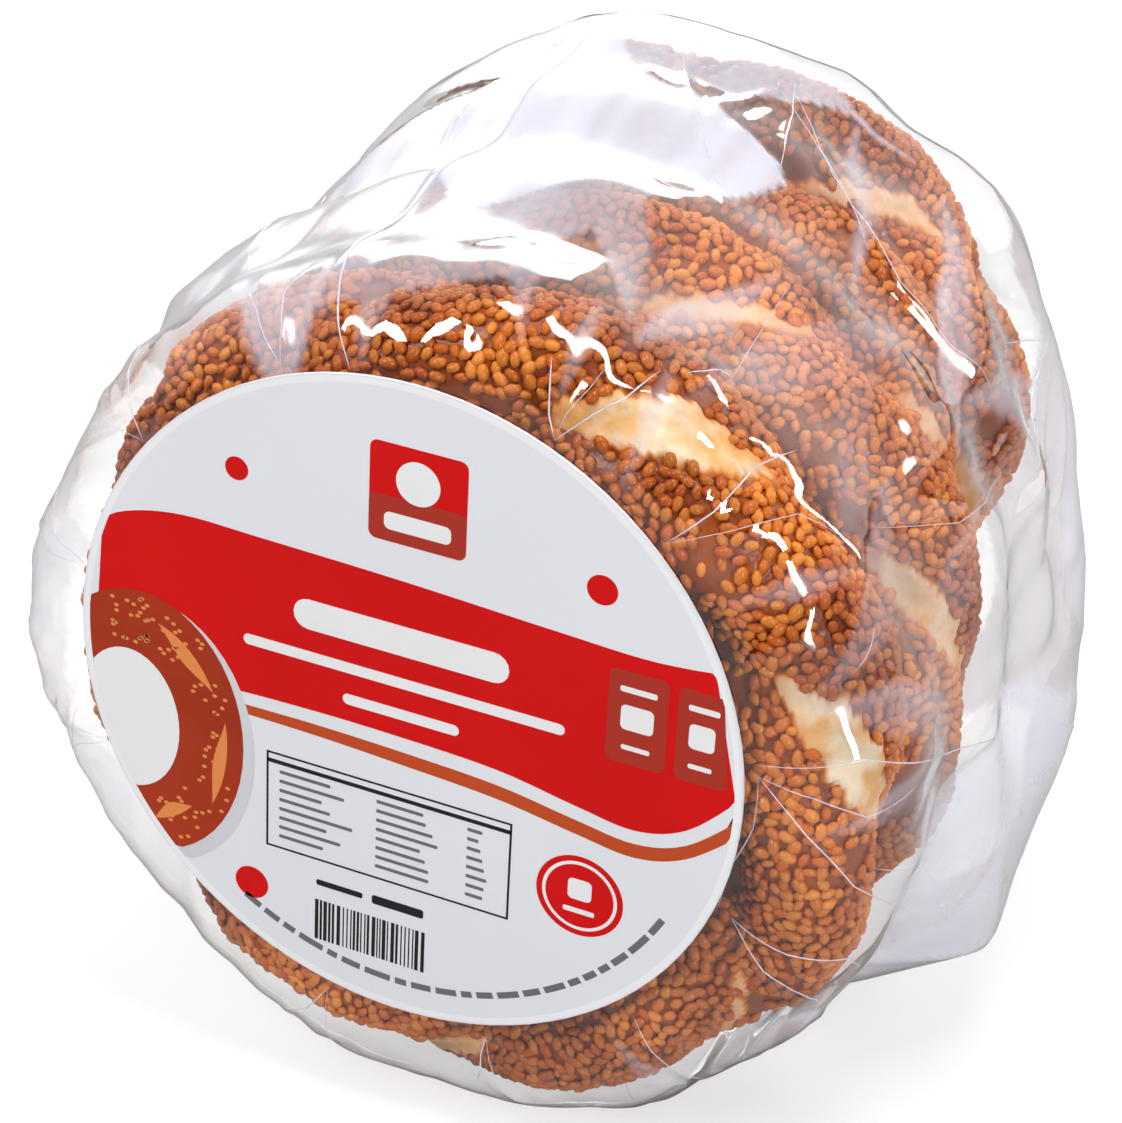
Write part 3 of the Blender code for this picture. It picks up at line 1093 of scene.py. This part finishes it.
def print_on_label(name, outlines, ink, layer):
    """Lay flat inked shapes on the label's face. Outlines are in millimetres from its middle."""
    builder = bmesh.new()
    turn = Matrix.Rotation(PRINT_TURN, 2)
    depth = LABEL_FRONT - INK_LIFT * layer
    for outline in outlines:
        corners = []
        for u, v in inside_rim(outline):
            spot = turn @ Vector((u, v)) * MM
            corners.append(builder.verts.new((LABEL_X + spot.x, depth, LABEL_Z + spot.y)))
        face = builder.faces.new(corners)
        grown = bmesh.ops.extrude_face_region(builder, geom=[face])
        moved = [part for part in grown["geom"] if isinstance(part, bmesh.types.BMVert)]
        bmesh.ops.translate(builder, verts=moved, vec=(0, INK_THICKNESS, 0))
    bmesh.ops.triangulate(builder, faces=builder.faces)
    bmesh.ops.recalc_face_normals(builder, faces=builder.faces)
    mesh = bpy.data.meshes.new(name)
    builder.to_mesh(mesh)
    builder.free()
    mesh.materials.append(ink)
    piece = bpy.data.objects.new(name, mesh)
    bpy.context.collection.objects.link(piece)
    return piece


white_paper = coated_paper("label_white", (0.80, 0.815, 0.86), 0.35)
red_ink = coated_paper("ink_red", (0.74, 0.005, 0.003), 0.35, (0.56, 0.003, 0.005))
stripe_ink = coated_paper("ink_orange_brown", (0.55, 0.075, 0.018), 0.35)
white_ink = coated_paper("ink_white", (0.86, 0.86, 0.87), 0.35)
tile_ink = coated_paper("ink_brown_red", (0.42, 0.035, 0.020), 0.35)
black_ink = coated_paper("ink_black", (0.018, 0.017, 0.018), 0.4)
grey_ink = coated_paper("ink_grey", (0.16, 0.16, 0.17), 0.4)
bread_ink = coated_paper("ink_bread", (0.50, 0.052, 0.014), 0.35, (0.20, 0.012, 0.006))
bread_light_ink = coated_paper("ink_bread_light", (0.80, 0.27, 0.08), 0.35)

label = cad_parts["label"]
label.data.materials.clear()
label.data.materials.append(white_paper)


def frame_of(u, v, width, height, line):
    """Four thin bars that make a box's outline."""
    return [
        tile(u, v, width, line, line * 0.2), tile(u, v + height - line, width, line, line * 0.2),
        tile(u, v, line, height, line * 0.2), tile(u + width - line, v, line, height, line * 0.2),
    ]


def table_bars():
    """Rows of short bars, as in a table with no words."""
    dice = random.Random(3)
    bars = []
    for row in range(TABLE_ROWS):
        for u, shortest, longest in ((-25.2, 9, 17), (-4.5, 6, 13), (14.5, 2.2, 4.6)):
            long = dice.uniform(shortest, longest)
            bars.append(tile(u, TABLE_TOP - row * TABLE_ROW, long, TABLE_BAR, 0.2))
    return bars


def code_bars():
    """Upright bars of uneven width."""
    dice = random.Random(12)
    bars = []
    u = CODE_FROM
    while u < CODE_TO:
        wide = dice.choice((0.28, 0.28, 0.5, 0.75))
        bars.append(tile(u, CODE_FOOT, wide, CODE_HEIGHT, 0.05))
        u += wide + dice.choice((0.3, 0.3, 0.55))
    return bars


def rim_bars():
    """Short bars that follow the label's lower edge."""
    dice = random.Random(9)
    bars = []
    angle = RIM_BARS_FROM
    while angle < RIM_BARS_TO:
        length = math.radians(dice.uniform(2.0, 5.5))
        steps = [angle + length * n / 4 for n in range(5)]
        bars.append([(RIM_BARS_INNER * math.cos(a), RIM_BARS_INNER * math.sin(a)) for a in steps]
                    + [(RIM_BARS_OUTER * math.cos(a), RIM_BARS_OUTER * math.sin(a)) for a in reversed(steps)])
        angle += length + math.radians(1.0)
    return bars


def arc_sliver(radius, radius_up, start, stop, thick):
    """A crescent that follows the pictured ring."""
    u, v = PICTURE
    steps = [math.radians(start + (stop - start) * n / 10) for n in range(11)]
    outer = [(u + radius * math.cos(a), v + radius_up * math.sin(a)) for a in steps]
    inner = []
    for n, a in enumerate(reversed(steps)):
        inset = thick * math.sin(math.pi * n / 10)
        inner.append((u + (radius - inset) * math.cos(a), v + (radius_up - inset) * math.sin(a)))
    return outer + inner[1:-1]


def pictured_seeds():
    """Small dots strewn over the pictured ring."""
    dice = random.Random(4)
    dots = []
    while len(dots) < 90:
        angle, share = dice.uniform(-2.2, 2.0), dice.uniform(0.60, 0.96)
        u = PICTURE[0] + PICTURE_HALF[0] * share * math.cos(angle)
        v = PICTURE[1] + PICTURE_HALF[1] * share * math.sin(angle)
        if math.hypot(u, v) < 64:
            dots.append(oval(u, v, 0.55, 0.4, steps=8))
    return dots


def rim_ring(name, inner, outer, ink, layer):
    """A flat ring printed round the label."""
    steps = 96
    points = []
    for radius, depth in ((outer, 0), (inner, 0), (inner, 1), (outer, 1)):
        for n in range(steps):
            a = 2 * math.pi * n / steps
            y = LABEL_FRONT - INK_LIFT * layer + INK_THICKNESS * depth
            points.append((LABEL_X + radius * math.cos(a), y, LABEL_Z + radius * math.sin(a)))
    piece = link_mesh(name, points, grid_faces(4, steps, True), ink)
    piece.data.shade_flat()
    face_outwards(piece)
    return piece


rim_ink = coated_paper("ink_rim", (0.90, 0.90, 0.92), 0.25)
shadow_ink = coated_paper("ink_soft_grey", (0.60, 0.60, 0.64), 0.4, (0.72, 0.72, 0.76))

PRINTS = (
    # name, outlines in millimetres from the label's middle, ink, layer
    ("print_band", [curved(BAND_TOP) + curved(BAND_BOTTOM)], red_ink, 1),
    ("print_stripe", [curved(STRIPE_TOP) + curved(STRIPE_BOTTOM)], stripe_ink, 1),
    ("print_ring_shade", [oval(-53.2, -20.5, 22.6, 29.6)], shadow_ink, 2),
    ("print_ring", [oval(*PICTURE, *PICTURE_HALF)], bread_ink, 3),
    ("print_ring_hole", [oval(-58, -19, 11, 15.5)], white_ink, 4),
    ("print_ring_light", [
        arc_sliver(17.5, 23.5, 28, 78, 3.2), arc_sliver(18.5, 25, -35, 12, 2.8),
        arc_sliver(16, 22, -82, -48, 3.0),
    ], bread_light_ink, 4),
    ("print_ring_seeds", pictured_seeds(), bread_light_ink, 5),
    ("print_mark", [tile(-7.5, 35.5, 19.5, 20, 1.6)], red_ink, 1),
    ("print_mark_foot", [tile(-7.5, 35.5, 19.5, 9.4, 1.6)], tile_ink, 2),
    ("print_mark_inner", [
        oval(2.2, 48.6, 4.4), tile(-4.4, 38.0, 13.4, 3.6, 1.2),
    ], white_ink, 3),
    ("print_table", [
        *frame_of(-28, -38.9, 51.6, 21.8, 0.45), tile(-28, -19.6, 51.6, 0.9, 0.1),
    ], black_ink, 1),
    ("print_table_bars", table_bars(), grey_ink, 1),
    ("print_code", code_bars(), black_ink, 1),
    ("print_rim_bars", rim_bars(), grey_ink, 1),
    ("print_weight", [tile(-17, -44.6, 10, 1.3, 0.4), tile(-5, -44.9, 11, 2.0, 0.5)], black_ink, 1),
    ("print_tile_bars", [
        tile(43.6, 10.4, 6.4, 5.2, 1.0), tile(43.2, 18.2, 7.2, 1.2, 0.4), tile(44, 6.2, 5.6, 1.0, 0.4),
        tile(56.8, 10.4, 5.0, 5.2, 1.0), tile(56.4, 18.2, 6.0, 1.2, 0.4), tile(57, 6.2, 4.6, 1.0, 0.4),
    ], white_ink, 3),
    ("print_badge_bar", [
        tile(35.4, -29.4, 4.8, 4.6, 1.0), tile(34.6, -32.4, 6.4, 1.1, 0.4),
    ], white_ink, 4),
    ("print_tiles", [
        tile(41, 3.2, 11.6, 19.4, 1.4), tile(54.4, 3.2, 10.4, 19.4, 1.4),
    ], tile_ink, 2),
    ("print_title", [tile(-22.5, 12.2, 44, 6.4, 3.1)], white_ink, 2),
    ("print_lines", [tile(-33, 5.2, 66, 2.3, 1.1), tile(-12, -1.6, 24, 2.3, 1.1)], white_ink, 2),
    ("print_badge", [oval(37.8, -28.5, 8.8)], red_ink, 1),
    ("print_badge_ring", [oval(37.8, -28.5, 7.6)], white_ink, 2),
    ("print_badge_face", [oval(37.8, -28.5, 6.9)], red_ink, 3),
    ("print_small_marks", [
        oval(-34.5, 41.9, 2.4), oval(38.6, 37.5, 3.0), oval(-31.1, -48.9, 3.6),
    ], red_ink, 1),
)

prints = [print_on_label(*row) for row in PRINTS]
prints.append(rim_ring("print_rim", LABEL_RADIUS - RIM, LABEL_RADIUS - 0.35 * MM, rim_ink, 1))
for piece in prints:
    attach(piece, "root")
